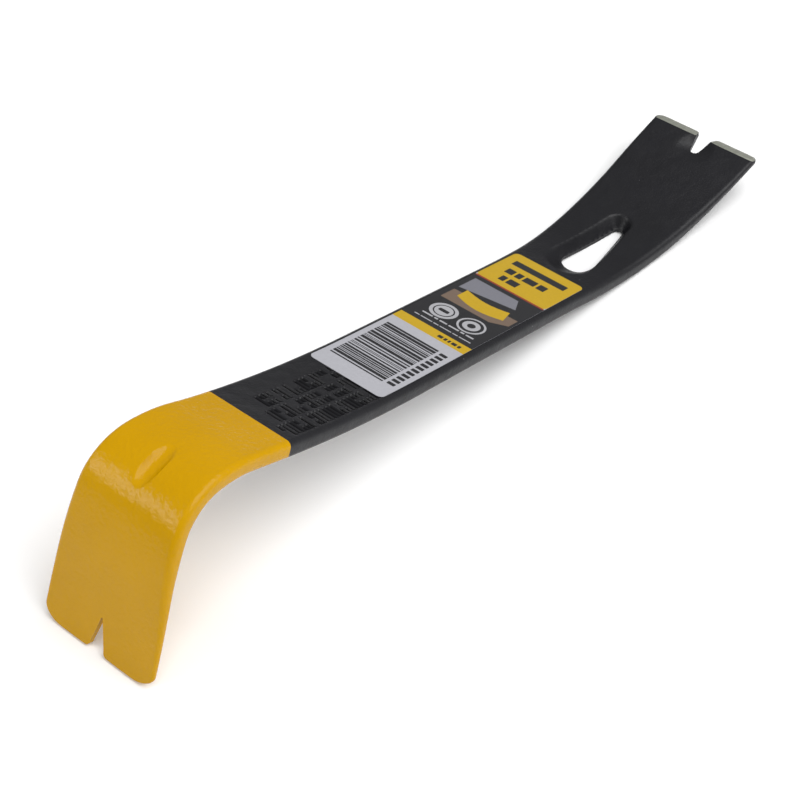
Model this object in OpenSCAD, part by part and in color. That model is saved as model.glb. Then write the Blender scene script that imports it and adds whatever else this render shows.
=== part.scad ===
// A flat pry bar forged from one strip of spring steel. One end is bent down into a hook claw,
// the other end rises gently and holds a keyhole nail slot and a straight claw. The hook is
// dipped in enamel, the rest is lacquered, and a label lies along the flat middle.
// The bar lies as it does on a bench: on the hook's tip and on the belly of the far bend.
// +X runs along the bar towards the straight claw and +Z is up. The origin is on the bench,
// under the middle of the bar.

/* [Bar] */
// Width of the straight middle
shank_w = 34.5; // [33:0.5:38]
// Thickness of the steel in the middle
steel_t = 5.6; // [5:0.1:6]
// Length of the straight middle
shank_len = 97; // [85:1:110]
// Radius of the rounded long edges
edge_r = 1.8; // [0.8:0.1:2.2]

/* [Hook claw] */
// Width across the hook's tip
hook_w = 45; // [42:0.5:52]
// Length over which the hook end widens
hook_flare = 96; // [85:1:110]
// Length of the straight part of the blade
blade_len = 28; // [26:0.5:36]
// Radius of the blade's gentle curve
blade_r = 132; // [100:1:180]
// Angle of the blade's gentle curve
blade_turn = 9; // [6:0.5:12]
// Radius of the main bend at mid thickness
bend_r = 18.5; // [17:0.5:22]
// Angle of the main bend
bend_turn = 64; // [58:1:70]
// Radius of the shoulder above the bend
shoulder_r = 48; // [40:1:60]
// Angle of the shoulder above the bend
shoulder_turn = 19; // [14:1:24]
// Radius of the slight rise before the shoulder
rise_r = 480; // [400:5:560]
// Angle of the slight rise before the shoulder
rise_turn = 9.7; // [8:0.1:11]
// Thickness at the hook's tip
hook_tip_t = 1.4; // [1.2:0.1:2.4]
// Length over which the blade thins to its tip
hook_taper = 58; // [40:1:80]
// Length along the blade of the hook's two round outer corners
hook_corner_len = 4.8; // [3:0.1:8]
// Width across the blade of the same corners
hook_corner_w = 7.5; // [3:0.5:10]
// Depth of the hook's V notch
hook_notch = 12.7; // [11:0.1:16]
// Half width of the hook's notch at its mouth
hook_mouth = 3.1; // [2.5:0.1:3.6]

/* [Stiffening dimple] */
// Where the dimple sits, as a part of the way round the bend
dimple_place = 0.7; // [0.5:0.05:0.75]
// Radius of the punch that presses the dimple
punch_r = 3.9; // [3:0.1:5]
// Depth of the dimple
dimple_depth = 1.7; // [1:0.1:2]
// Radius of the rib that it raises inside the bend
rib_r = 4.5; // [4:0.1:6]
// Height of the rib
rib_height = 1.5; // [1:0.1:1.8]

/* [Straight claw] */
// Width across the straight claw's tip
claw_w = 45.5; // [42:0.5:50]
// Length over which the claw end widens
claw_flare = 124; // [110:1:130]
// Radius of the claw's rise at mid thickness
claw_r = 162; // [140:1:180]
// Angle of the claw's rise
claw_turn = 26; // [22:0.5:30]
// Length of the straight part at the tip
claw_len = 32.5; // [28:0.5:38]
// Thickness at the start of the ground bevel
claw_tip_t = 2.8; // [2.2:0.1:3.4]
// Length over which the claw thins to its tip
claw_taper = 70; // [50:1:85]
// Radius of the claw's two outer corners
claw_corner = 3; // [1:0.5:5]
// Depth of the claw's notch
claw_notch = 11.5; // [10:0.1:14]
// Half width of the claw's notch at its mouth
claw_mouth = 3.9; // [3.2:0.1:4.6]
// Radius of the round root of the claw's notch
notch_root_r = 2; // [1.6:0.1:2.4]
// Radius of the coined dish around the notch's root
dish_r = 7.5; // [5:0.5:9]
// Depth of the coined dish
dish_depth = 1.5; // [0.8:0.1:2]
// Length of the bare ground bevel
bevel_len = 4; // [2.5:0.5:5]
// Thickness of the edge that the bevel leaves
edge_t = 0.8; // [0.5:0.1:1.2]

/* [Nail slot] */
// Distance from the claw's tip to the centre of the slot's wide end
slot_big_at = 86.6; // [82:0.1:90]
// Distance from the claw's tip to the centre of the slot's narrow end
slot_small_at = 61.2; // [60:0.1:65]
// Radius of the wide end, right through
slot_big_r = 6.2; // [4:0.1:6.5]
// Radius of the narrow end, right through
slot_small_r = 2.2; // [2:0.1:3.5]
// How far the bevel spreads the wide end on the top face
rim_big = 3.2; // [2:0.1:4]
// How far the bevel spreads the narrow end on the top face
rim_small = 3; // [1:0.1:3.5]
// How much further the bevel runs out beyond the wide end
rim_shift = 7; // [2:0.5:8]
// Depth of the upright land below the bevel
slot_land = 1; // [0.6:0.1:2]

/* [Finish] */
// Thickness of the black lacquer
lacquer_t = 0.15; // [0.1:0.01:0.25]
// Thickness of the dipped enamel
enamel_t = 0.2; // [0.1:0.01:0.3]
// Distance along the bar from the hook's tip to the edge of the enamel
enamel_len = 101.2; // [96:0.1:106]
// Distance along the bar from the hook's tip to the label
label_at = 147; // [144:0.1:152]
// Length of the label
label_len = 116.5; // [90:0.1:118]
// Width of the label
label_w = 30.3; // [26:0.1:30.8]
// Radius of the label's corners
label_corner = 2; // [1:0.5:4]
// Thickness of the label
label_t = 0.12; // [0.1:0.01:0.2]

/* [Hidden] */
$fn = 48;

// The centre line runs from the hook's tip to the claw's tip. Each stretch is a length and a turn.
function arc_len(r, turn) = r * turn * PI / 180;
stretches = [
    [blade_len, 0],
    [arc_len(blade_r, blade_turn), -blade_turn],
    [arc_len(bend_r, bend_turn), -bend_turn],
    [arc_len(shoulder_r, shoulder_turn), -shoulder_turn],
    [arc_len(rise_r, rise_turn), rise_turn],
    [shank_len, 0],
    [arc_len(claw_r, claw_turn), claw_turn],
    [claw_len, 0]
];
function start_of(i) = i == 0 ? 0 : start_of(i - 1) + stretches[i - 1][0];
bar_len = start_of(len(stretches));
bend_start = start_of(2);
bend_end = start_of(3);
rise_start = start_of(4);
shank_start = start_of(5);
claw_start = start_of(6);
claw_end = start_of(7);
dimple_at = bend_start + (bend_end - bend_start) * dimple_place;

// A place on the centre line is [x, z, heading]. Going on by a length while turning gives the next.
function go(p, dist, turn) =
    let (chord = turn == 0 ? dist : 2 * dist / (turn * PI / 180) * sin(turn / 2))
    [p[0] + chord * cos(p[2] + turn / 2), p[1] + chord * sin(p[2] + turn / 2), p[2] + turn];
function along(s, i, p) =
    let (part = stretches[i])
    s <= part[0] || i == len(stretches) - 1
        ? go(p, s, part[1] * s / part[0])
        : along(s - part[0], i + 1, go(p, part[0], part[1]));
function off(p, n) = [p[0] - n * sin(p[2]), p[1] + n * cos(p[2])];

// Half thickness and half width anywhere along the bar
function ease(u) = u <= 0 ? 0 : u >= 1 ? 1 : u * u * (3 - 2 * u);
function half_t(s) =
    let (hook_loss = (steel_t - hook_tip_t) * (1 - ease(s / hook_taper)))
    let (claw_loss = (steel_t - claw_tip_t) * (1 - ease((bar_len - s) / claw_taper)))
    (steel_t - hook_loss - claw_loss) / 2;
function corner_loss(u, long, wide) = u >= long ? 0 : wide * (1 - sqrt(1 - pow(1 - max(u, 0) / long, 2)));
function half_w(s) =
    let (hook_gain = (hook_w - shank_w) / 2 * ease(1 - s / hook_flare))
    let (claw_gain = (claw_w - shank_w) / 2 * ease(1 - (bar_len - s) / claw_flare))
    let (hook_corner = corner_loss(s, hook_corner_len, hook_corner_w))
    let (claw_round = corner_loss(bar_len - s, claw_corner, claw_corner))
    shank_w / 2 + hook_gain + claw_gain - hook_corner - claw_round;

// The bar rests on the hook's tip and on a circle, the belly of the claw's rise. With the middle
// level, the bench is the line from the tip that touches that circle from below.
level_heading = blade_turn + bend_turn + shoulder_turn - rise_turn;
level_start = [0, 0, level_heading];
tip_low = off(go(level_start, -enamel_t, 0), -half_t(0) - enamel_t);
belly_r = claw_r + steel_t / 2 + lacquer_t;
belly_centre = off(along(claw_start, 0, level_start), claw_r);
reach = belly_centre - tip_low;
tilt = atan2(reach[1], reach[0]) - asin(belly_r / norm(reach));
tilted_start = [0, 0, level_heading - tilt];

// Shift that puts the lowest point on the bench and the middle of the length at x = 0
low_corner = off(go(tilted_start, -enamel_t, 0), -half_t(0) - enamel_t);
left_corner = off(go(tilted_start, -enamel_t, 0), half_t(0) + enamel_t);
right_corner = off(along(bar_len, 0, tilted_start), -half_t(bar_len) - lacquer_t);
start = [-(left_corner[0] + right_corner[0]) / 2, -low_corner[1], tilted_start[2]];

// A point on the bar: s along it, y across it and n out of the centre surface
function place(s) = along(s, 0, start);
function spot(s, y, n) =
    let (p = place(s))
    [p[0] - n * sin(p[2]), y, p[1] + n * cos(p[2])];

// Stations along the bar: close together round the corners and the bend, further apart elsewhere
function steps(from, to, count) = [for (i = [0 : count - 1]) from + (to - from) * i / count];
corner_steps = [0, 20, 40, 60, 75];
bend_steps = 11;
curve_steps = 12;
few_steps = 4;
stations = concat(
    [for (a = corner_steps) hook_corner_len * (1 - cos(a))],
    steps(hook_corner_len, blade_len, few_steps),
    steps(blade_len, bend_start, few_steps),
    steps(bend_start, bend_end, bend_steps),
    steps(bend_end, rise_start, few_steps),
    steps(rise_start, shank_start, curve_steps),
    [shank_start],
    steps(claw_start, claw_end, curve_steps),
    steps(claw_end, bar_len - claw_corner, few_steps),
    [for (i = [len(corner_steps) - 1 : -1 : 0]) bar_len - claw_corner * (1 - cos(corner_steps[i]))]
);
function between(from, to) = concat([from], [for (s = stations) if (s > from && s < to) s], [to]);

// One cross-section: a rounded rectangle, grown by a coat on every side
ring_corners = [[1, 1, 0], [-1, 1, 90], [-1, -1, 180], [1, -1, 270]];
function ring(s, coat) =
    let (w = half_w(s) + coat)
    let (t = half_t(s) + coat)
    let (r = min(edge_r, half_t(s) * 0.8) + coat)
    [for (c = ring_corners, a = [0, 30, 60, 90])
        spot(s, c[0] * (w - r) + r * cos(c[2] + a), c[1] * (t - r) + r * sin(c[2] + a))];

// A closed solid through a list of rings that all have the same number of points and run
// anticlockwise as seen from the last ring
module skin(rings) {
    n = len(rings[0]);
    last = len(rings) - 1;
    sides = [for (i = [0 : last - 1], j = [0 : n - 1])
        let (k = (j + 1) % n)
        each [[i * n + j, (i + 1) * n + k, i * n + k], [i * n + j, (i + 1) * n + j, (i + 1) * n + k]]];
    first_cap = [for (j = [1 : n - 2]) [0, j, j + 1]];
    last_cap = [for (j = [1 : n - 2]) [last * n, last * n + j + 1, last * n + j]];
    polyhedron([for (r = rings) each r], concat(sides, first_cap, last_cap));
}

module swept(from, to, coat) {
    skin([for (s = between(from, to)) ring(s, coat)]);
}

// Puts its children at a place on the bar, with +X along it and +Z out of its top
module on_bar(s) {
    p = place(s);
    translate([p[0], 0, p[1]]) rotate([0, -p[2], 0]) children();
}

// Outline of a keyhole: arcs of two circles joined by their common tangents
function keyhole(big_at, big_r, small_at, small_r) =
    let (open = acos((big_r - small_r) / abs(small_at - big_at)))
    concat(
        [for (i = [0 : 14]) let (a = open + (360 - 2 * open) * i / 14)
            [big_at + big_r * cos(a), big_r * sin(a)]],
        [for (i = [0 : 8]) let (a = -open + 2 * open * i / 8)
            [small_at + small_r * cos(a), small_r * sin(a)]]);
function bent(outline, n) = [for (p = outline) spot(p[0], p[1], n)];

// The nail slot: upright near the underside, then bevelled out to the top face
module nail_slot(coat) {
    big = bar_len - slot_big_at;
    small = bar_len - slot_small_at;
    low = keyhole(big, slot_big_r - coat, small, slot_small_r - coat);
    rim = keyhole(big - rim_shift, slot_big_r + rim_big - coat,
        small, slot_small_r + rim_small - coat);
    skin([
        bent(low, -steel_t),
        bent(low, slot_land - steel_t / 2),
        bent(rim, steel_t / 2),
        bent(rim, steel_t)
    ]);
}

// A notch with its mouth at x = 0, rounded where it meets the tip, and its root at x = depth
module notch(depth, mouth, root_r, coat) {
    lip_r = 1.8;
    mouth_half = mouth - coat;
    lip = [for (a = [0 : 15 : 90]) [lip_r - lip_r * cos(a), mouth_half + lip_r - lip_r * sin(a)]];
    side = concat([[-2, mouth_half + lip_r]], lip, [[depth - root_r, root_r - coat]]);
    back = [for (i = [len(side) - 1 : -1 : 0]) [side[i][0], -side[i][1]]];
    linear_extrude(4 * steel_t, center = true) {
        polygon(concat(side, back));
        translate([depth - root_r, 0]) circle(root_r - coat);
    }
}

module hook_notch_cut(coat) {
    notch_tip_r = 0.5;
    on_bar(0) notch(hook_notch, hook_mouth, notch_tip_r, coat);
}

// The claw's notch, with a coined dish round its root on the top face
module claw_notch_cut(coat) {
    root_at = claw_notch - notch_root_r;
    dish_lift = 3;
    slope = (dish_r - notch_root_r) / dish_depth;
    on_bar(bar_len) mirror([1, 0, 0]) {
        notch(claw_notch, claw_mouth, notch_root_r, coat);
        translate([root_at, 0, half_t(bar_len - root_at) - dish_depth])
            cylinder(h = dish_depth + dish_lift, r1 = notch_root_r - coat,
                r2 = dish_r - coat + slope * dish_lift);
    }
}

// The wedge ground off the top of the claw's tip
module bevel_cut() {
    spare = 5;
    top = half_t(bar_len);
    on_bar(bar_len) rotate([90, 0, 0]) linear_extrude(2 * claw_w, center = true)
        polygon([[-bevel_len, top], [0, edge_t - top], [spare, edge_t - top], [spare, spare],
            [-bevel_len, spare]]);
}

// The straight punch mark across the outside of the bend
module dimple_cut(coat) {
    on_bar(dimple_at) translate([0, 0, steel_t / 2 - dimple_depth + punch_r])
        rotate([0, 90, 0]) cylinder(h = 2 * bend_r, r = punch_r - coat, center = true);
}

// The rib that the punch raises inside the bend
module bend_rib(coat) {
    on_bar(dimple_at) intersection() {
        translate([0, 0, rib_r - rib_height - steel_t / 2]) rotate([0, 90, 0])
            cylinder(h = 2 * bend_r, r = rib_r + coat, center = true);
        translate([0, 0, -bend_r]) rotate([90, 0, 0])
            cylinder(h = shank_w / 2, r = bend_r, center = true);
    }
}

module bare_steel() {
    difference() {
        union() {
            swept(0, bar_len, 0);
            bend_rib(0);
        }
        nail_slot(0);
        hook_notch_cut(0);
        claw_notch_cut(0);
        bevel_cut();
        dimple_cut(0);
    }
}

// The forging: hook claw, shank, nail slot and straight claw in one piece of spring steel
module steel_bar() {
    color("silver") bare_steel();
}

// Black lacquer over the shank and the straight claw, down the slot and the notch.
// The ground bevel is left bare.
module black_lacquer() {
    color([0.13, 0.13, 0.14]) difference() {
        swept(enamel_len, bar_len, lacquer_t);
        nail_slot(lacquer_t);
        claw_notch_cut(lacquer_t);
        bevel_cut();
        bare_steel();
    }
}

// Yellow enamel all round the dipped hook
module yellow_enamel() {
    color([0.9, 0.66, 0.05]) difference() {
        union() {
            swept(-enamel_t, enamel_len, enamel_t);
            bend_rib(enamel_t);
        }
        hook_notch_cut(enamel_t);
        dimple_cut(enamel_t);
        bare_steel();
    }
}

// The printed label on top of the lacquer
module label() {
    inset = [for (a = corner_steps) label_corner * (1 - cos(a))];
    label_end = label_at + label_len;
    places = concat(
        [for (u = inset) label_at + u],
        [for (s = stations) if (s > label_at + label_corner && s < label_end - label_corner) s],
        [for (i = [len(inset) - 1 : -1 : 0]) label_end - inset[i]]);
    low = steel_t / 2 + lacquer_t;
    color("white") skin([for (s = places)
        let (near = min(s - label_at, label_end - s))
        let (w = label_w / 2 - corner_loss(near, label_corner, label_corner))
        [spot(s, w, low), spot(s, w, low + label_t), spot(s, -w, low + label_t), spot(s, -w, low)]]);
}

steel_bar();
black_lacquer();
yellow_enamel();
label();
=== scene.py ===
# %% [markdown]
# # A forged pry bar
# The bar is one strip of spring steel, bent into a hook at one end and swept up at the other.
# Its hook is dipped in yellow enamel, the rest is sprayed with black lacquer, and a printed film
# lies on the flat middle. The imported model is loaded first: it fixes where everything is.

# %% Load the frame
import math

import bpy
import numpy as np
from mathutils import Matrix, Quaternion, Vector


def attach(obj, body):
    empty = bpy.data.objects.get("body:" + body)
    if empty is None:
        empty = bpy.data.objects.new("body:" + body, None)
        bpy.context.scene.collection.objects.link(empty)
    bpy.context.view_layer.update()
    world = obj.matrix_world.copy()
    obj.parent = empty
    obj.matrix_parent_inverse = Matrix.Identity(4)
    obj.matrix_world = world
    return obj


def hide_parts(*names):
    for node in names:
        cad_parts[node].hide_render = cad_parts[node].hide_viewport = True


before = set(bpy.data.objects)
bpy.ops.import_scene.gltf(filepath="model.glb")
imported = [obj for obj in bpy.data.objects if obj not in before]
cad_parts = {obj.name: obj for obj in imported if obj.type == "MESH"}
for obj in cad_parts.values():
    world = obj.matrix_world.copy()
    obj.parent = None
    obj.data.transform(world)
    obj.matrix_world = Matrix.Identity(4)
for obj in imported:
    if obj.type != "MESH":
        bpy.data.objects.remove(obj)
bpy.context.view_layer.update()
MM = 0.001
print("loaded", sorted(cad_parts))

# %% [markdown]
# ## Camera first
# A long lens from above the hook looks along the bar. A small roll and a vertical shift frame it.
# The camera is made before any piece, so that each piece can be judged as soon as it exists.

# %% Camera
scene = bpy.context.scene
VIEW_FROM = Vector((-0.3661, -0.2671, 0.41))
VIEW_ALONG = Vector((0.5519, 0.4287, -0.7153))
VIEW_ROLL = math.radians(2.76)
lens_data = bpy.data.cameras.new("camera")
lens_data.lens = 79.22
lens_data.shift_y = 0.1
camera = bpy.data.objects.new("camera", lens_data)
scene.collection.objects.link(camera)
camera.location = VIEW_FROM
camera.rotation_mode = "QUATERNION"
camera.rotation_quaternion = (VIEW_ALONG.to_track_quat("-Z", "Y")
                              @ Quaternion((0, 0, 1), VIEW_ROLL))
scene.camera = camera
print("camera", [round(v, 3) for v in camera.location])

# %% [markdown]
# ## The bar's centre line
# A smith starts from a flat blank and bends it over a former. The same order works here: every
# piece is modelled flat, with X along the blank, and one function then bends it. A Curve
# modifier could do it too, but it measures its curve in short straight steps, and a formula
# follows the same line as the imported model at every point. The line is a chain of straight and
# round stretches from the hook's tip, each with a length in mm and a turn in degrees.


# %% Stretches of the centre line, in mm and degrees
def arc_len(radius, turn):
    return radius * math.radians(turn)


BLADE_LEN, SHANK_LEN, CLAW_LEN = 28, 97, 32.5
BLADE_R, BEND_R, SHOULDER_R, RISE_R, CLAW_R = 132, 18.5, 48, 480, 162
BLADE_TURN, BEND_TURN, SHOULDER_TURN, RISE_TURN, CLAW_TURN = 9, 64, 19, 9.7, 26
STRETCHES = [
    (BLADE_LEN, 0),
    (arc_len(BLADE_R, BLADE_TURN), -BLADE_TURN),
    (arc_len(BEND_R, BEND_TURN), -BEND_TURN),
    (arc_len(SHOULDER_R, SHOULDER_TURN), -SHOULDER_TURN),
    (arc_len(RISE_R, RISE_TURN), RISE_TURN),
    (SHANK_LEN, 0),
    (arc_len(CLAW_R, CLAW_TURN), CLAW_TURN),
    (CLAW_LEN, 0),
]
STARTS = np.concatenate([[0], np.cumsum([length for length, turn in STRETCHES])])
BAR_LEN = float(STARTS[-1])
BEND_START, BEND_END, CLAW_START = STARTS[2], STARTS[3], STARTS[6]
print("the blank is", round(BAR_LEN, 1), "mm long")

# %% [markdown]
# ## Width and thickness
# The blank widens towards both claws and thins towards both tips. A smooth step eases one size
# into the next, and a quarter of an oval or a circle takes the corners off in plan.

# %% Sizes of the blank, in mm
SHANK_W, STEEL_T, EDGE_R = 34.5, 5.6, 1.8
HOOK_W, HOOK_FLARE, HOOK_TIP_T, HOOK_TAPER = 45, 96, 1.4, 58
HOOK_CORNER_LEN, HOOK_CORNER_W = 4.8, 7.5
CLAW_W, CLAW_FLARE, CLAW_TIP_T, CLAW_TAPER, CLAW_CORNER = 45.5, 124, 2.8, 70, 3
LACQUER_T, ENAMEL_T = 0.15, 0.2
ENAMEL_LEN = 101.2


def ease(u):
    u = np.clip(u, 0, 1)
    return u * u * (3 - 2 * u)


def corner_loss(u, long, wide):
    """How far an oval corner pulls a side in, at u from the end."""
    left = 1 - np.clip(u, 0, long) / long
    return wide * (1 - np.sqrt(1 - left * left))


def half_t(s):
    hook_loss = (STEEL_T - HOOK_TIP_T) * (1 - ease(s / HOOK_TAPER))
    claw_loss = (STEEL_T - CLAW_TIP_T) * (1 - ease((BAR_LEN - s) / CLAW_TAPER))
    return (STEEL_T - hook_loss - claw_loss) / 2


def half_w(s):
    hook_gain = (HOOK_W - SHANK_W) / 2 * ease(1 - s / HOOK_FLARE)
    claw_gain = (CLAW_W - SHANK_W) / 2 * ease(1 - (BAR_LEN - s) / CLAW_FLARE)
    hook_corner = corner_loss(s, HOOK_CORNER_LEN, HOOK_CORNER_W)
    claw_corner = corner_loss(BAR_LEN - s, CLAW_CORNER, CLAW_CORNER)
    return SHANK_W / 2 + hook_gain + claw_gain - hook_corner - claw_corner


print("half width at the tips", round(float(half_w(12.0)), 2), round(float(half_w(BAR_LEN - 4)), 2))

# %% [markdown]
# ## Bending
# `places` walks the centre line to a distance s and gives the point and the heading there.
# `lay_on_bar` moves each vertex of a flat mesh from (s, y, n) to its place on the bent bar. The
# bar's own resting slant is found as a bench finds it: the hook's tip and the belly of the claw
# touch the same level. Afterwards the object still sits at the origin, unturned.


# %% Walk the line and find how the bar rests
def places(s, start):
    """x, z and heading in radians at each distance in s along the line."""
    x, z, heading = (np.full(len(s), value, float) for value in start)
    for i, (length, turn) in enumerate(STRETCHES):
        last = i == len(STRETCHES) - 1
        low = -np.inf if i == 0 else 0.0
        step = np.clip(s - STARTS[i], low, np.inf if last else length)
        bow = math.radians(turn) * step / length
        chord = step if turn == 0 else 2 * length / math.radians(turn) * np.sin(bow / 2)
        x += chord * np.cos(heading + bow / 2)
        z += chord * np.sin(heading + bow / 2)
        heading += bow
    return x, z, heading


def out_of(place, n):
    x, z, heading = (float(np.ravel(v)[0]) for v in place)
    return np.array([x - n * math.sin(heading), z + n * math.cos(heading)])


level_start = (0, 0, math.radians(BLADE_TURN + BEND_TURN + SHOULDER_TURN - RISE_TURN))
tip_t = float(half_t(0.0)) + ENAMEL_T
tip_low = out_of(places(np.array([-ENAMEL_T]), level_start), -tip_t)
belly_centre = out_of(places(np.array([CLAW_START]), level_start), CLAW_R)
reach = belly_centre - tip_low
belly_r = CLAW_R + STEEL_T / 2 + LACQUER_T
tilt = math.atan2(reach[1], reach[0]) - math.asin(belly_r / math.hypot(*reach))
tilted = (0, 0, level_start[2] - tilt)
low_corner = out_of(places(np.array([-ENAMEL_T]), tilted), -tip_t)
left_corner = out_of(places(np.array([-ENAMEL_T]), tilted), tip_t)
claw_tip = places(np.array([BAR_LEN]), tilted)
right_corner = out_of(claw_tip, -float(half_t(BAR_LEN)) - LACQUER_T)
START = (-(left_corner[0] + right_corner[0]) / 2, -low_corner[1], tilted[2])
print("slant of the middle", round(math.degrees(tilt), 2), "degrees")


# %% Bend a flat mesh
def coordinates(mesh):
    flat = np.zeros(len(mesh.vertices) * 3)
    mesh.vertices.foreach_get("co", flat)
    return flat.reshape(-1, 3)


def set_coordinates(mesh, points):
    mesh.vertices.foreach_set("co", np.ascontiguousarray(points, np.float32).ravel())
    mesh.update()


def lay_on_bar(obj):
    s, y, n = (coordinates(obj.data) / MM).T
    x, z, heading = places(s, START)
    bent = np.stack([x - n * np.sin(heading), y, z + n * np.cos(heading)], axis=1)
    set_coordinates(obj.data, bent * MM)


def spot(s, y, n):
    """One point of the bent bar, in metres."""
    x, z, heading = (float(v[0]) for v in places(np.array([float(s)]), START))
    return Vector((x - n * math.sin(heading), y, z + n * math.cos(heading))) * MM


print("claw tip at", [round(v, 4) for v in spot(BAR_LEN, 0, 0)])

# %% [markdown]
# ## Working like a hand
# Blender's operators act on whatever is selected and active. These three short helpers keep
# that tidy: they select one object, open it in edit mode and close it, and apply a cut to it.


# %% Selection and modifiers
def pick(obj):
    bpy.ops.object.select_all(action="DESELECT")
    obj.select_set(True)
    bpy.context.view_layer.objects.active = obj


def edit_all(obj):
    pick(obj)
    bpy.ops.object.mode_set(mode="EDIT")
    bpy.ops.mesh.select_all(action="SELECT")


def done():
    bpy.ops.object.mode_set(mode="OBJECT")


def apply_boolean(obj, cutter):
    pick(obj)
    cut = obj.modifiers.new("cut", "BOOLEAN")
    cut.operation = "DIFFERENCE"
    cut.solver = "EXACT"
    cut.object = cutter
    bpy.ops.object.modifier_apply(modifier=cut.name)
    bpy.data.objects.remove(cutter)


# %% [markdown]
# ## Marks that are pressed in
# The dimple, the coined dish, the slot's bevel and the stamped rows are all pressed into hot
# steel, so their rims are soft. A Boolean would leave them knife-sharp. Instead each is a depth
# at a place (s, y), and the vertices of the top face sink by it. `soft` rounds the rim over the
# given number of mm. Inside the bend the punch raises a rib, which is a depth the other way.


# %% Depth of each pressed mark, in mm
def soft(depth, rim):
    return (depth + np.sqrt(depth * depth + rim * rim)) / 2


DIMPLE_PLACE = 0.7
DIMPLE_AT = BEND_START + (BEND_END - BEND_START) * DIMPLE_PLACE
PUNCH_R, DIMPLE_DEPTH, RIB_R, RIB_HEIGHT = 3.9, 1.7, 4.5, 1.5
DIMPLE_RIM, RIB_RIM, SLOT_RIM, DISH_RIM = 0.12, 0.15, 0.35, 0.14


def boat(s, y, height, radius, outer_r):
    """A straight round punch that meets the curved face of the bend."""
    half_len = math.sqrt(outer_r**2 - (outer_r - height) ** 2)
    across = np.clip(np.abs(y), 0, radius)
    along = (s - DIMPLE_AT) / half_len
    fall = radius - np.sqrt(radius**2 - across**2) + 2 * (np.abs(y) - across)
    return height * (1 - along**2) - fall


def dimple_depth(s, y):
    outer_r = BEND_R + STEEL_T / 2
    stretch = outer_r / BEND_R
    at = DIMPLE_AT + (s - DIMPLE_AT) * stretch
    return soft(boat(at, y, DIMPLE_DEPTH, PUNCH_R, outer_r), DIMPLE_RIM)


def rib_height(s, y):
    inner_r = BEND_R - STEEL_T / 2
    at = DIMPLE_AT + (s - DIMPLE_AT) * inner_r / BEND_R
    return soft(boat(at, y, RIB_HEIGHT, RIB_R, inner_r), RIB_RIM)


SLOT_BIG_AT, SLOT_SMALL_AT = BAR_LEN - 86.6, BAR_LEN - 61.2
SLOT_BIG_R, SLOT_SMALL_R = 6.2, 2.2
RIM_BIG, RIM_SMALL, RIM_SHIFT, SLOT_LAND = 3.2, 3.0, 7.0, 1.0


def keyhole_gap(s, y, big_at, big_r, small_at, small_r):
    """Distance outside a keyhole outline, negative inside it."""
    span = small_at - big_at
    lean = (big_r - small_r) / span
    rise = math.sqrt(1 - lean * lean)
    u, v = s - big_at, np.abs(y)
    k = u * rise - v * lean
    past_big = np.hypot(u, v) - big_r
    past_small = np.hypot(u - span, v) - small_r
    side = v * rise + u * lean - big_r
    return np.where(k < 0, past_big, np.where(k > rise * span, past_small, side))


def slot_depth(s, y):
    hole = keyhole_gap(s, y, SLOT_BIG_AT, SLOT_BIG_R, SLOT_SMALL_AT, SLOT_SMALL_R)
    rim = keyhole_gap(s, y, SLOT_BIG_AT - RIM_SHIFT, SLOT_BIG_R + RIM_BIG,
                      SLOT_SMALL_AT, SLOT_SMALL_R + RIM_SMALL)
    drop = (STEEL_T - SLOT_LAND) * np.clip(-rim / (hole - rim), -1, 1)
    return soft(drop, SLOT_RIM)


CLAW_NOTCH, CLAW_MOUTH, NOTCH_ROOT_R, DISH_R, DISH_DEPTH = 11.5, 3.9, 2.0, 7.5, 1.5


def dish_depth(s, y):
    away = np.hypot(s - (BAR_LEN - CLAW_NOTCH + NOTCH_ROOT_R), y)
    slope = (DISH_R - away) / (DISH_R - NOTCH_ROOT_R)
    return soft(DISH_DEPTH * np.clip(slope, -1, 1), DISH_RIM)


# %% [markdown]
# A block of words is stamped into the real bar. Here it is three rows of plain upright strokes
# and ticks that never join, so they form no letters and spell nothing. Only the texture of a
# stamped block is kept. A seeded generator gives the same rows each time.

# %% Stamped strokes
STAMP_FROM, STAMP_TO, STAMP_DEPTH, STROKE_W = 104.5, 149, 0.7, 0.9
STAMP_ROWS = [(-14.6, -8.4), (-7.2, -0.6), (0.8, 7.2)]
STROKE_GAP, WORD_GAP, ROW_INDENT = 0.85, 2.4, 3.5
HALF_BREAK, TICK_BREAK, STROKE_RIM = 0.4, 0.7, 0.22
draw = np.random.default_rng(12)
strokes = []
for row, (row_low, row_high) in enumerate(STAMP_ROWS):
    at = STAMP_FROM + ROW_INDENT * row
    middle = (row_low + row_high) / 2
    while at < STAMP_TO:
        kind = int(draw.integers(0, 8))
        end = at + STROKE_W
        if kind < 4:
            strokes.append((at, end, row_low, row_high))
        elif kind == 4:
            strokes.append((at, end, middle + HALF_BREAK, row_high))
        elif kind == 5:
            strokes.append((at, end, row_low, middle - HALF_BREAK))
        else:
            strokes.append((at, end, middle + TICK_BREAK, row_high))
            strokes.append((at, end, row_low, middle - TICK_BREAK))
        at = end + (WORD_GAP if draw.random() < 0.1 else STROKE_GAP)
print(len(strokes), "stamped strokes")


def stamp_depth(s, y):
    depth = np.zeros(len(s))
    near = (s > STAMP_FROM - 2) & (s < STAMP_TO + 6) & (np.abs(y) < SHANK_W / 2)
    u, v = s[near], y[near]
    deepest = np.zeros(len(u))
    for low_s, high_s, low_y, high_y in strokes:
        inside = np.minimum(np.minimum(u - low_s, high_s - u), np.minimum(v - low_y, high_y - v))
        deepest = np.maximum(deepest, ease((inside + STROKE_RIM) / (2 * STROKE_RIM)))
    depth[near] = deepest * STAMP_DEPTH
    return depth


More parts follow.
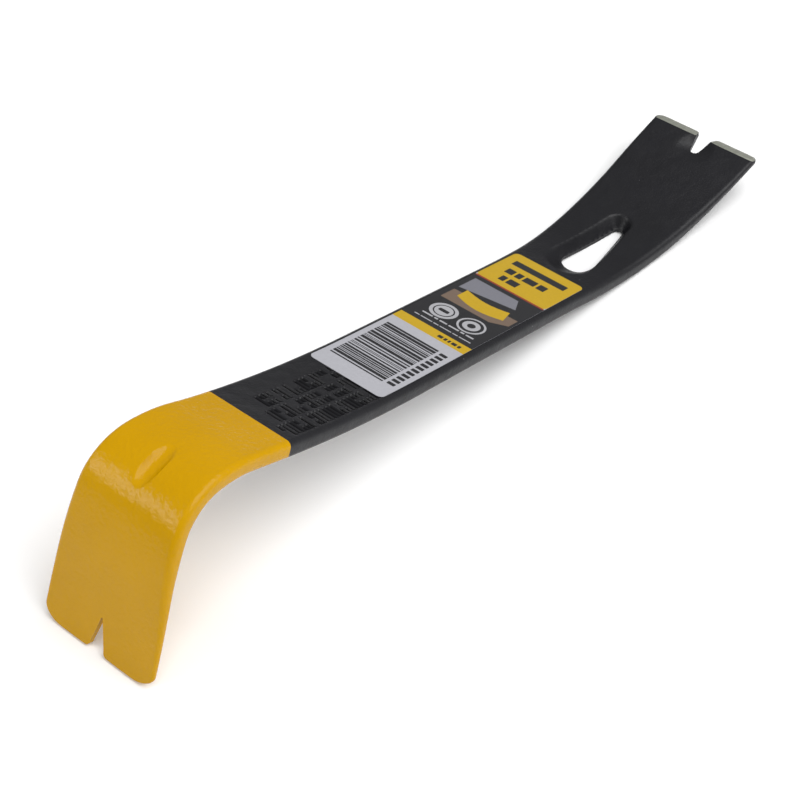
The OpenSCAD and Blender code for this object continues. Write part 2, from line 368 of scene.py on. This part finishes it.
# %% [markdown]
# ## The body of the bar
# Three pieces share one shape: the steel and the two coats on it. So one function models it: a
# grid primitive is rolled round the rounded section like sheet round a mandrel, its seam is
# merged and its ends are filled. The grid's lines lie close together where something is pressed
# in and far apart where the bar is plain, which keeps the mesh light.

# %% Where the blank's cross-sections go
FINE, MEDIUM, COARSE = 0.42, 1.2, 2.2
ZONES = [(BEND_START + 3, BEND_END + 4), (STAMP_FROM - 1, STAMP_TO),
         (SLOT_BIG_AT - RIM_SHIFT - 11, SLOT_SMALL_AT + 7), (BAR_LEN - 19, BAR_LEN)]
TIP_ROUND, LONG_PIECE, BLADE_PART = 0.35, 90, 30


def stations(first, last):
    cuts = [first]
    while cuts[-1] < last:
        at = cuts[-1]
        fine = any(low <= at <= high for low, high in ZONES)
        ahead = [low for low, high in ZONES if low > at]
        step = FINE if fine else COARSE if last - first > LONG_PIECE or at > BLADE_PART else MEDIUM
        nearest = min(ahead, default=last) - at
        cuts.append(at + (step if fine else min(step, max(nearest, 0.2))))
    cuts = [c for c in cuts if c < last - 0.1] + [last]
    if first <= 0:
        corner = HOOK_CORNER_LEN * (1 - np.cos(np.radians(np.arange(8, 90, 6))))
        tip = first + TIP_ROUND * (1 - np.cos(np.radians([20, 45, 70, 90])))
        cuts = [first, *tip, *(c for c in corner if c > tip[-1]),
                *(c for c in cuts if c > corner[-1] + 0.1)]
    if last >= BAR_LEN:
        corner = last - CLAW_CORNER * (1 - np.cos(np.radians(np.arange(80, 4, -8))))
        cuts = [c for c in cuts if c < corner[0] - 0.1] + [*corner, last]
    return np.array(sorted(set(float(c) for c in cuts)))


# %% Where the points of a cross-section go
TOP_POINTS, LOW_POINTS, ARC_POINTS = 84, 20, 6
EDGE_SHARE, EDGE_LIMIT = 0.8, 0.9


def section_points():
    """Shares round the section: side sign, level sign and angle for each point."""
    arc = np.linspace(0, 90, ARC_POINTS + 1)
    top = np.linspace(1, -1, TOP_POINTS + 1)[1:-1]
    low = np.linspace(-1, 1, LOW_POINTS + 1)[1:-1]
    rows = [(1, 1, a) for a in arc] + [(t, 1, 90) for t in top]
    rows += [(-1, 1, 90 + a) for a in arc] + [(-1, -1, 180 + a) for a in arc]
    rows += [(t, -1, 270) for t in low] + [(1, -1, 270 + a) for a in arc]
    return np.array(rows + rows[:1])


SECTION = section_points()
print(len(SECTION), "points round each section")


# %% Roll a grid round the section
def rolled_blank(name, first, last, coat):
    cuts = stations(first, last)
    bpy.ops.object.select_all(action="DESELECT")
    bpy.ops.mesh.primitive_grid_add(x_subdivisions=len(cuts) - 1,
                                    y_subdivisions=len(SECTION) - 1, size=1)
    obj = bpy.context.object
    obj.name = obj.data.name = name
    grid = coordinates(obj.data)
    column = np.rint((grid[:, 0] + 0.5) * (len(cuts) - 1)).astype(int)
    row = np.rint((grid[:, 1] + 0.5) * (len(SECTION) - 1)).astype(int)
    s = cuts[column]
    side, level, angle = SECTION[row].T
    pull = corner_loss(s - first, TIP_ROUND, TIP_ROUND) if first < 1 else 0
    width = half_w(s) + coat - pull
    thick = half_t(s) + coat - pull
    round_r = np.minimum(np.minimum(EDGE_R, half_t(s) * EDGE_SHARE) + coat, thick * EDGE_LIMIT)
    y = side * (width - round_r) + round_r * np.cos(np.radians(angle))
    n = level * (thick - round_r) + round_r * np.sin(np.radians(angle))
    flat_top, flat_low = np.isclose(angle, 90), np.isclose(angle, 270)
    sink = dimple_depth(s, y) + slot_depth(s, y) + dish_depth(s, y) + stamp_depth(s, y)
    n = n - np.where(flat_top, sink, 0) - np.where(flat_low, rib_height(s, y), 0)
    set_coordinates(obj.data, np.stack([s, y, n], axis=1) * MM)
    edit_all(obj)
    bpy.ops.mesh.remove_doubles(threshold=1e-7)
    bpy.ops.mesh.fill_holes(sides=0)
    bpy.ops.mesh.select_all(action="SELECT")
    bpy.ops.mesh.normals_make_consistent(inside=False)
    done()
    print(name, len(obj.data.polygons), "faces rolled from", len(cuts), "sections")
    return obj


# %% [markdown]
# ## Cutting the slot and the notches
# These go right through, so they are cut with Booleans while the blank is still flat and each
# cutter can stand upright. A cutter is a disc primitive whose rim points are moved on to an
# outline of arcs and straight lines, then extruded.


# %% Cutters
def cutter(name, outline, low, high):
    bpy.ops.object.select_all(action="DESELECT")
    bpy.ops.mesh.primitive_circle_add(vertices=len(outline), fill_type="NGON", radius=MM)
    obj = bpy.context.object
    obj.name = name
    points = np.column_stack([outline, np.full(len(outline), low)])
    set_coordinates(obj.data, points * MM)
    edit_all(obj)
    bpy.ops.mesh.extrude_region_move(TRANSFORM_OT_translate={"value": (0, 0, (high - low) * MM)})
    bpy.ops.mesh.select_all(action="SELECT")
    bpy.ops.mesh.normals_make_consistent(inside=False)
    done()
    return obj


def keyhole_outline(coat):
    big_r, small_r = SLOT_BIG_R - coat, SLOT_SMALL_R - coat
    opening = math.degrees(math.acos((big_r - small_r) / (SLOT_SMALL_AT - SLOT_BIG_AT)))
    big = np.radians(np.linspace(opening, 360 - opening, 40))
    small = np.radians(np.linspace(-opening, opening, 28))
    return np.concatenate([
        np.column_stack([SLOT_BIG_AT + big_r * np.cos(big), big_r * np.sin(big)]),
        np.column_stack([SLOT_SMALL_AT + small_r * np.cos(small), small_r * np.sin(small)])])


LIP_R = 1.8


def notch_outline(depth, mouth, root_r, coat):
    """Half outline from the mouth to the root, then its mirror image. The tip is at 0."""
    turn = np.radians(np.arange(0, 91, 10))
    lip = np.column_stack([LIP_R - LIP_R * np.cos(turn), mouth - coat + LIP_R - LIP_R * np.sin(turn)])
    root_turn = np.radians(np.arange(80, -1, -16))
    centre = depth - root_r
    root = np.column_stack([centre + (root_r - coat) * np.cos(root_turn),
                            (root_r - coat) * np.sin(root_turn)])
    side = np.concatenate([[[-2, mouth - coat + LIP_R]], lip, root])
    return np.concatenate([side, (side * [1, -1])[-2::-1]])


HOOK_NOTCH, HOOK_MOUTH, HOOK_ROOT_R = 12.7, 3.1, 0.5
DEEP = 8


def cut_slot(obj, coat):
    apply_boolean(obj, cutter("slot_cutter", keyhole_outline(coat), -DEEP, DEEP))


def cut_hook_notch(obj, coat):
    outline = notch_outline(HOOK_NOTCH, HOOK_MOUTH, HOOK_ROOT_R, coat)
    apply_boolean(obj, cutter("hook_notch_cutter", outline, -DEEP, DEEP))


def cut_claw_notch(obj, coat):
    outline = notch_outline(CLAW_NOTCH, CLAW_MOUTH, NOTCH_ROOT_R, coat) * [-1, 1] + [BAR_LEN, 0]
    apply_boolean(obj, cutter("claw_notch_cutter", outline, -DEEP, DEEP))


# %% [markdown]
# The claw's edge is ground after painting, so the lacquer ends where the grinding starts. One
# bisect takes the wedge off the top of the tip and fills the cut. The lacquer is cut a hair
# lower than the steel, which leaves the bare metal showing. The stamping's depth is also kept
# on the lacquer as an attribute, which paints shade into the strokes: the lacquer is darker and
# reflects less where it is stamped, in place of the shade that falls in the recesses.

# %% Ground bevel
BEVEL_LEN, EDGE_T, BARE_STEP = 4.0, 0.8, 0.02


def grind_bevel(obj, sunk):
    top = float(half_t(BAR_LEN))
    slope = Vector((2 * top - EDGE_T, 0, BEVEL_LEN)).normalized()
    edit_all(obj)
    bpy.ops.mesh.bisect(plane_co=((BAR_LEN - BEVEL_LEN) * MM, 0, (top - sunk) * MM),
                        plane_no=slope, use_fill=True, clear_outer=True,
                        threshold=1e-6)
    done()


def mark_stamp_shade(obj):
    """Writes how deep each top vertex is stamped, from 0 to 1, as the mask of painted shade in the
    strokes.
    """
    s, y, n = (coordinates(obj.data) / MM).T
    depth = np.where(n > 0, stamp_depth(s, y) / STAMP_DEPTH, 0)
    stamped = obj.data.attributes.new("stamped", "FLOAT", "POINT")
    stamped.data.foreach_set("value", depth.astype(np.float32))


def finish_piece(obj, node, finish, angle=35):
    lay_on_bar(obj)
    edit_all(obj)
    bpy.ops.mesh.normals_make_consistent(inside=False)
    done()
    pick(obj)
    bpy.ops.object.shade_smooth_by_angle(angle=math.radians(angle))
    obj.data.materials.clear()
    obj.data.materials.append(finish)
    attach(obj, "root")
    if node:
        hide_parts(node)
    print(obj.name, len(obj.data.polygons), "faces")


# %% [markdown]
# ## Materials
# Colours are written as the hex values that a paint chart gives, and one function turns them
# into the linear values that the renderer works in. One small function adds a node.


# %% Colour and node helpers
def linear(hex_code):
    parts = [int(hex_code[i:i + 2], 16) / 255 for i in (1, 3, 5)]
    return tuple(p / 12.92 if p <= 0.04045 else ((p + 0.055) / 1.055) ** 2.4 for p in parts) + (1,)


def add(tree, kind, links=(), **settings):
    """Adds a node. Settings are its own values or its input sockets, links are (socket, source)."""
    node = tree.nodes.new(kind)
    for key, value in settings.items():
        if hasattr(node, key):
            setattr(node, key, value)
        else:
            node.inputs[key.replace("_", " ")].default_value = value
    for name, source in links:
        tree.links.new(source, node.inputs[name])
    return node


def new_material(name):
    material = bpy.data.materials.new(name)
    material.use_nodes = True
    tree = material.node_tree
    shader = tree.nodes["Principled BSDF"]
    where = add(tree, "ShaderNodeTexCoord").outputs["Object"]
    return material, tree, shader, where


def blend_colour(tree, share, low, high):
    """A colour that goes from low to high as share goes from 0 to 1."""
    mix = add(tree, "ShaderNodeMix", data_type="RGBA")
    tree.links.new(share, mix.inputs["Factor"])
    for i, value in ((6, low), (7, high)):
        if isinstance(value, tuple):
            mix.inputs[i].default_value = value
        else:
            tree.links.new(value, mix.inputs[i])
    return mix.outputs[2]


def per_mm(size):
    """Texture scale at which one feature is that many mm across."""
    return 1 / (size * MM)


# %% [markdown]
# **Dipped alkyd enamel.** The hook is hung in a bath of thick gloss paint. It is smooth with an
# orange peel of about 1.5 mm, which breaks a reflection into small lights. The film is a little
# darker and warmer where it is thick, and a few specks of dust dried into it.


# %% Yellow enamel
def yellow_enamel():
    material, tree, shader, where = new_material("dipped_alkyd_enamel")
    cloud = add(tree, "ShaderNodeTexNoise", [("Vector", where)], Scale=per_mm(28), Detail=3.0)
    tone = blend_colour(tree, cloud.outputs["Fac"], linear("#B58700"), linear("#C49302"))
    dust = add(tree, "ShaderNodeTexVoronoi", [("Vector", where)], Scale=per_mm(11))
    speck = add(tree, "ShaderNodeMapRange", [("Value", dust.outputs["Distance"])],
                From_Min=0.012, From_Max=0.03, To_Min=0.75, To_Max=0.0)
    tone = blend_colour(tree, speck.outputs["Result"], tone, linear("#5A4310"))
    tree.links.new(tone, shader.inputs["Base Color"])
    peel = add(tree, "ShaderNodeTexNoise", [("Vector", where)], Scale=per_mm(1.5), Detail=3.0)
    sag = add(tree, "ShaderNodeTexNoise", [("Vector", where)], Scale=per_mm(9), Detail=1.0)
    wave = add(tree, "ShaderNodeBump", [("Height", sag.outputs["Fac"])],
               Strength=0.25, Distance=0.0006)
    skin = add(tree, "ShaderNodeBump", [("Height", peel.outputs["Fac"]),
                                        ("Normal", wave.outputs["Normal"])],
               Strength=1.0, Distance=0.00025)
    tree.links.new(skin.outputs["Normal"], shader.inputs["Normal"])
    shine = add(tree, "ShaderNodeMapRange", [("Value", cloud.outputs["Fac"])],
                To_Min=0.1, To_Max=0.2)
    tree.links.new(shine.outputs["Result"], shader.inputs["Roughness"])
    shader.inputs["IOR"].default_value = 1.48
    shader.inputs["Specular IOR Level"].default_value = 0.16
    return material


ENAMEL = yellow_enamel()
print(ENAMEL.name)

# %% [markdown]
# **Black stoving lacquer.** It is sprayed thin over scale and forging marks, so the grain of the
# steel shows through it: a satin, slightly blue black with patches that shine a little more, a
# fine grain of just under a millimetre and a few pale specks of dust.


# %% Black lacquer
def black_lacquer():
    material, tree, shader, where = new_material("black_stoving_lacquer")
    cloud = add(tree, "ShaderNodeTexNoise", [("Vector", where)], Scale=per_mm(22), Detail=4.0)
    tone = blend_colour(tree, cloud.outputs["Fac"], linear("#09090D"), linear("#16161B"))
    dust = add(tree, "ShaderNodeTexVoronoi", [("Vector", where)], Scale=per_mm(8))
    speck = add(tree, "ShaderNodeMapRange", [("Value", dust.outputs["Distance"])],
                From_Min=0.015, From_Max=0.04, To_Min=0.5, To_Max=0.0)
    tone = blend_colour(tree, speck.outputs["Result"], tone, linear("#77777A"))
    # Painted shade: the stamped strokes are made darker and less reflective, in place of the shade in
    # their recesses.
    stamped = add(tree, "ShaderNodeAttribute", attribute_name="stamped").outputs["Fac"]
    tone = blend_colour(tree, stamped, tone, linear("#050506"))
    tree.links.new(tone, shader.inputs["Base Color"])
    gloss = add(tree, "ShaderNodeMapRange", [("Value", stamped)], To_Min=0.42, To_Max=0.1)
    tree.links.new(gloss.outputs["Result"], shader.inputs["Specular IOR Level"])
    grain = add(tree, "ShaderNodeTexNoise", [("Vector", where)], Scale=per_mm(0.8), Detail=3.0)
    scale = add(tree, "ShaderNodeTexNoise", [("Vector", where)], Scale=per_mm(6), Detail=4.0)
    forged = add(tree, "ShaderNodeBump", [("Height", scale.outputs["Fac"])],
                 Strength=0.5, Distance=0.0006)
    skin = add(tree, "ShaderNodeBump", [("Height", grain.outputs["Fac"]),
                                        ("Normal", forged.outputs["Normal"])],
               Strength=0.6, Distance=0.00012)
    tree.links.new(skin.outputs["Normal"], shader.inputs["Normal"])
    shine = add(tree, "ShaderNodeMapRange", [("Value", scale.outputs["Fac"])],
                To_Min=0.36, To_Max=0.52)
    tree.links.new(shine.outputs["Result"], shader.inputs["Roughness"])
    shader.inputs["IOR"].default_value = 1.45
    return material


LACQUER = black_lacquer()
print(LACQUER.name)

# %% [markdown]
# **Ground spring steel.** A belt grinder leaves fine parallel lines, here about 0.35 mm apart,
# drawn a little coarser than real so that they show. They run from the bevel's top to its edge,
# so the noise is squeezed across the bar and stretched along it.


# %% Ground steel
def ground_steel():
    material, tree, shader, where = new_material("ground_spring_steel")
    squeeze = add(tree, "ShaderNodeMapping", [("Vector", where)], Scale=(0.08, 1.0, 0.08))
    lines = add(tree, "ShaderNodeTexNoise", [("Vector", squeeze.outputs["Vector"])],
                Scale=per_mm(0.35), Detail=2.0)
    tone = blend_colour(tree, lines.outputs["Fac"], linear("#B9BBAE"), linear("#DADCCF"))
    tree.links.new(tone, shader.inputs["Base Color"])
    cut = add(tree, "ShaderNodeBump", [("Height", lines.outputs["Fac"])],
              Strength=0.4, Distance=0.0001)
    tree.links.new(cut.outputs["Normal"], shader.inputs["Normal"])
    wear = add(tree, "ShaderNodeMapRange", [("Value", lines.outputs["Fac"])],
               To_Min=0.34, To_Max=0.5)
    tree.links.new(wear.outputs["Result"], shader.inputs["Roughness"])
    shader.inputs["Metallic"].default_value = 1.0
    return material


STEEL = ground_steel()
print(STEEL.name)

# %% [markdown]
# ## The three bodies
# The steel goes all the way through. Each coat is modelled as the coated bar, a tenth or two of
# a millimetre fatter than the steel on each side, and stops where the paint stops.

# %% Steel, lacquer and enamel
steel = rolled_blank("steel_forging", 0, BAR_LEN, 0)
grind_bevel(steel, 0)
cut_slot(steel, 0)
cut_hook_notch(steel, 0)
cut_claw_notch(steel, 0)
finish_piece(steel, "steel_bar", STEEL)

lacquer = rolled_blank("lacquer_coat", ENAMEL_LEN, BAR_LEN, LACQUER_T)
grind_bevel(lacquer, BARE_STEP)
cut_slot(lacquer, LACQUER_T)
cut_claw_notch(lacquer, LACQUER_T)
mark_stamp_shade(lacquer)
finish_piece(lacquer, "black_lacquer", LACQUER)

enamel = rolled_blank("enamel_coat", -ENAMEL_T, ENAMEL_LEN, ENAMEL_T)
cut_hook_notch(enamel, ENAMEL_T)
finish_piece(enamel, "yellow_enamel", ENAMEL)

# %% [markdown]
# ## The label
# The label is a printed film. The film is a thin plate with round corners, and each ink is a
# hair's breadth of colour on it, cut as its own shapes. Printing could also be an image, but
# shapes stay crisp at any distance and need no file. Nothing on it can be read: the name panel
# holds plain rules, the picture is a simple board and bar, and the bar code is uneven stripes.

# %% Label inks
LABEL_AT, LABEL_LEN, LABEL_W = 147, 116.5, 30.3
FILM_LOW = STEEL_T / 2 + LACQUER_T
FILM_T, INK_T = 0.09, 0.01
FOLD_STEP, FOLDS_END = 3, 169


INK_ROUGHNESS, INK_MOTTLE = 0.32, 0.88


def ink(name, colour):
    """Gloss ink under a thin varnish, with the faint mottle of a press."""
    material, tree, shader, where = new_material(name)
    mottle = add(tree, "ShaderNodeTexNoise", [("Vector", where)], Scale=per_mm(1.2), Detail=2.0)
    base = linear(colour)
    shade = tuple(c * INK_MOTTLE for c in base[:3]) + (1,)
    tone = blend_colour(tree, mottle.outputs["Fac"], shade, base)
    tree.links.new(tone, shader.inputs["Base Color"])
    wrinkle = add(tree, "ShaderNodeTexNoise", [("Vector", where)], Scale=per_mm(14), Detail=1.0)
    lift = add(tree, "ShaderNodeBump", [("Height", wrinkle.outputs["Fac"])],
               Strength=0.25, Distance=0.0004)
    tree.links.new(lift.outputs["Normal"], shader.inputs["Normal"])
    shader.inputs["Roughness"].default_value = INK_ROUGHNESS
    return material


PAPER = ink("white_film", "#ADADB3")
INK_YELLOW = ink("yellow_ink", "#C09C12")
INK_BLACK = ink("black_ink", "#1E1E21")
INK_WHITE = ink("white_ink", "#A9A9AD")
INK_RED = ink("red_ink", "#8E3420")
INK_GREY = ink("grey_board_ink", "#77777F")
INK_BROWN = ink("brown_ground_ink", "#715F51")
print("inks mixed")


# %% Flat shapes for the print
def rounded(low_s, high_s, low_y, high_y, radius):
    """Outline of a rectangle with round corners."""
    turn = np.radians(np.arange(0, 91, 15))
    corners = [(high_s - radius, high_y - radius, 0), (low_s + radius, high_y - radius, 90),
               (low_s + radius, low_y + radius, 180), (high_s - radius, low_y + radius, 270)]
    return np.concatenate([
        np.column_stack([s + radius * np.cos(turn + math.radians(a)),
                         y + radius * np.sin(turn + math.radians(a))]) for s, y, a in corners])


def disc(s, y, radius):
    turn = np.radians(np.arange(0, 360, 7.5))
    return np.column_stack([s + radius * np.cos(turn), y + radius * np.sin(turn)])


def printed(name, outlines, layer, finish):
    """One ink: its outlines become thin plates at one layer, joined and split where they bend."""
    low = FILM_LOW if layer == 0 else FILM_LOW + FILM_T + (layer - 1) * INK_T
    high = FILM_LOW + FILM_T + layer * INK_T
    plates = [cutter(f"{name}_{i}", outline, low, high) for i, outline in enumerate(outlines)]
    bpy.ops.object.select_all(action="DESELECT")
    for plate in plates:
        plate.select_set(True)
    bpy.context.view_layer.objects.active = plates[0]
    if len(plates) > 1:
        bpy.ops.object.join()
    obj = bpy.context.view_layer.objects.active
    obj.name = obj.data.name = name
    edit_all(obj)
    for at in np.arange(LABEL_AT + FOLD_STEP, FOLDS_END, FOLD_STEP):
        bpy.ops.mesh.select_all(action="SELECT")
        bpy.ops.mesh.bisect(plane_co=(at * MM, 0, 0), plane_no=(1, 0, 0), threshold=1e-7)
    done()
    finish_piece(obj, "label" if layer == 0 else None, finish, PRINT_FACET_ANGLE)
    return obj


HALF, LABEL_CORNER, FIELD_CORNER, PRINT_FACET_ANGLE = LABEL_W / 2, 2, 0.05, 20
LABEL_END = LABEL_AT + LABEL_LEN
STRIP_AT, BLACK_AT, TITLE_AT = LABEL_AT + 43.4, LABEL_AT + 48.3, LABEL_AT + 90.9
printed("label_film", [rounded(LABEL_AT, LABEL_END, -HALF, HALF, LABEL_CORNER)], 0, PAPER)

# %% Colour fields
printed("print_black_field", [rounded(BLACK_AT, TITLE_AT, -HALF, HALF, FIELD_CORNER)], 1, INK_BLACK)
strip = rounded(STRIP_AT, BLACK_AT, -HALF, HALF, FIELD_CORNER)
title = rounded(TITLE_AT, LABEL_END, -HALF, HALF, LABEL_CORNER)
printed("print_yellow_fields", [strip, title], 1, INK_YELLOW)
RED_HALF = HALF - 0.3
red_rule = rounded(TITLE_AT - 0.5, TITLE_AT + 0.4, -RED_HALF, RED_HALF, FIELD_CORNER)
printed("print_red_rule", [red_rule], 2, INK_RED)

# %% Picture of a board and a bar on the ground
PICTURE_AT = LABEL_AT + 67.5
ground = np.array([(0, 13), (0, -8), (3.5, -14), (9, -14), (8, 13)]) + [PICTURE_AT, 0]
board = np.array([(10.5, 13), (14.5, -9), (20.5, -6), (20.5, 13)]) + [PICTURE_AT, 0]
printed("picture_ground", [ground], 2, INK_BROWN)
printed("picture_board", [board], 2, INK_GREY)
bow = np.linspace(0, 1, 9)
bar_low = np.column_stack([PICTURE_AT + 5 - 2.4 * np.sin(math.pi * bow), -10.5 + 20 * bow])
bar_high = np.column_stack([PICTURE_AT + 11.2 - 1.8 * np.sin(math.pi * bow), 9.5 - 18.5 * bow])
printed("picture_bar", [np.concatenate([bar_low, bar_high])], 3, INK_YELLOW)

# %% Roundels and rows of plain rules
ROUNDEL_S, ROUNDEL_R = LABEL_AT + 60.2, 5.2
ROUNDELS_Y = (5.9, -6.0)
printed("print_roundels", [disc(ROUNDEL_S, y, ROUNDEL_R) for y in ROUNDELS_Y], 2, INK_WHITE)
printed("print_roundel_rings", [disc(ROUNDEL_S, ROUNDELS_Y[0], 3.9),
                                disc(ROUNDEL_S, ROUNDELS_Y[1], 4.4)], 3, INK_BLACK)
printed("print_roundel_discs", [disc(ROUNDEL_S, ROUNDELS_Y[0], 3.4),
                                disc(ROUNDEL_S, ROUNDELS_Y[1], 3.2)], 4, INK_WHITE)
plain_rule = rounded(ROUNDEL_S - 0.9, ROUNDEL_S + 0.9, ROUNDELS_Y[0] - 2.1, ROUNDELS_Y[0] + 2.1, 0.6)
printed("print_roundel_marks", [plain_rule, disc(ROUNDEL_S, ROUNDELS_Y[1], 1.5)], 5, INK_BLACK)


def rule_row(low_s, high_s, low_y, high_y, lengths, gap):
    """Plain short rules in a row across the bar, with the given lengths in turn."""
    rules, at, i = [], low_y, 0
    while at + lengths[i % len(lengths)] <= high_y:
        length = lengths[i % len(lengths)]
        rules.append(rounded(low_s, high_s, at, at + length, min(0.2, (high_s - low_s) / 3)))
        at, i = at + length + gap, i + 1
    return rules


SMALL_AT = BLACK_AT + 2.5
small_rules = rule_row(SMALL_AT + 2.8, SMALL_AT + 3.6, -11.5, 11.5, (3.2, 1.6, 4.4), 0.7)
small_rules += rule_row(SMALL_AT, SMALL_AT + 0.5, -12.5, 12.5, (5.0, 2.2), 0.5)
printed("print_small_rules", small_rules, 2, INK_WHITE)
title_rules = rule_row(TITLE_AT + 17.0, TITLE_AT + 20.6, -11.5, 11.5, (23.0,), 1)
title_rules += rule_row(TITLE_AT + 10.0, TITLE_AT + 13.8, -7.5, 10.6, (3.4, 5.2, 2.6), 0.9)
title_rules += rule_row(TITLE_AT + 3.8, TITLE_AT + 7.6, 0.5, 10.6, (4.4, 2.4), 0.9)
title_rules += rule_row(STRIP_AT + 1.6, STRIP_AT + 3.2, -12.2, -2.5, (1.1, 2.0, 0.9), 0.6)
printed("print_title_rules", title_rules, 2, INK_BLACK)

# %% [markdown]
# The stripes of the bar code keep a real one's rhythm of thin and thick lines, but their widths
# come from a seeded draw, so they encode nothing. A row of small plain marks stands where the
# digits would be.

# %% Stripes
CODE_AT, CODE_LEN = LABEL_AT + 8.1, 29.8
THIN, STRIPE_LOW, STRIPE_HIGH, STRIPE_CORNER = 0.36, -9.0, 13.0, 0.02
MARK_W, MARK_LOW, MARK_HIGH, MARK_STEP = 1.6, -13.2, -10.2, 2.5
stripes, at = [], CODE_AT
while at < CODE_AT + CODE_LEN:
    width = THIN * float(draw.integers(1, 5))
    stripes.append(rounded(at, at + width, STRIPE_LOW, STRIPE_HIGH, STRIPE_CORNER))
    at += width + THIN * float(draw.integers(1, 3))
marks = [rounded(s, s + MARK_W, MARK_LOW, MARK_HIGH, 0.3)
         for s in CODE_AT + np.arange(0.6, CODE_LEN, MARK_STEP)]
printed("print_stripes", stripes, 1, INK_BLACK)
printed("print_stripe_marks", marks, 1, INK_BLACK)
print(len(stripes), "stripes")

# %% [markdown]
# ## Floor and light
# The bar lies on a plain pale sheet. A broad soft box hangs overhead on the near side, and a
# weaker one lights the near edge. A third, small one stands where its reflection falls across
# the outside of the bend, which is what makes the gloss of the enamel visible.

# %% Floor
bpy.ops.object.select_all(action="DESELECT")
bpy.ops.mesh.primitive_plane_add(size=8, location=(0, 0, -0.0001))
floor = bpy.context.object
floor.name = "floor"
floor_paint, _, floor_shader, _ = new_material("pale_floor")
floor_shader.inputs["Base Color"].default_value = linear("#FCFCFC")
floor_shader.inputs["Roughness"].default_value = 0.9
floor_shader.inputs["Specular IOR Level"].default_value = 0.1
floor.data.materials.append(floor_paint)


# %% Lights
def soft_box(name, place, target, size, power):
    light = bpy.data.lights.new(name, "AREA")
    light.shape = "RECTANGLE"
    light.size, light.size_y = size
    light.energy = power
    obj = bpy.data.objects.new(name, light)
    scene.collection.objects.link(obj)
    obj.location = place
    obj.rotation_euler = (Vector(target) - Vector(place)).to_track_quat("-Z", "Y").to_euler()
    return obj


def mirror_of_view(s, y):
    """Direction from which light has to come to be seen reflected at that spot of the top."""
    point = spot(s, y, float(half_t(float(s))))
    out = (spot(s, y, 10) - spot(s, y, 0)).normalized()
    back = (VIEW_FROM - point).normalized()
    return point, (2 * out.dot(back) * out - back).normalized()


soft_box("overhead_box", (0.2, -0.6, 1.5), (0, 0, 0), (1.7, 1.3), 26)
soft_box("side_box", (0.25, -1.3, 0.9), (0, 0, 0), (1.4, 0.9), 6.5)
GLINT_PAST_BEND, GLINT_AWAY = 6, 0.9
glint_point, glint_way = mirror_of_view(BEND_START + GLINT_PAST_BEND, 0)
soft_box("bend_box", glint_point + glint_way * GLINT_AWAY, glint_point, (0.65, 0.22), 3)
world = bpy.data.worlds.new("pale_studio")
scene.world = world
world.use_nodes = True
world.node_tree.nodes["Background"].inputs["Color"].default_value = (1, 1, 1, 1)
world.node_tree.nodes["Background"].inputs["Strength"].default_value = 0.3
scene.view_settings.view_transform = "Standard"
print("glint comes from", [round(v, 2) for v in glint_way])
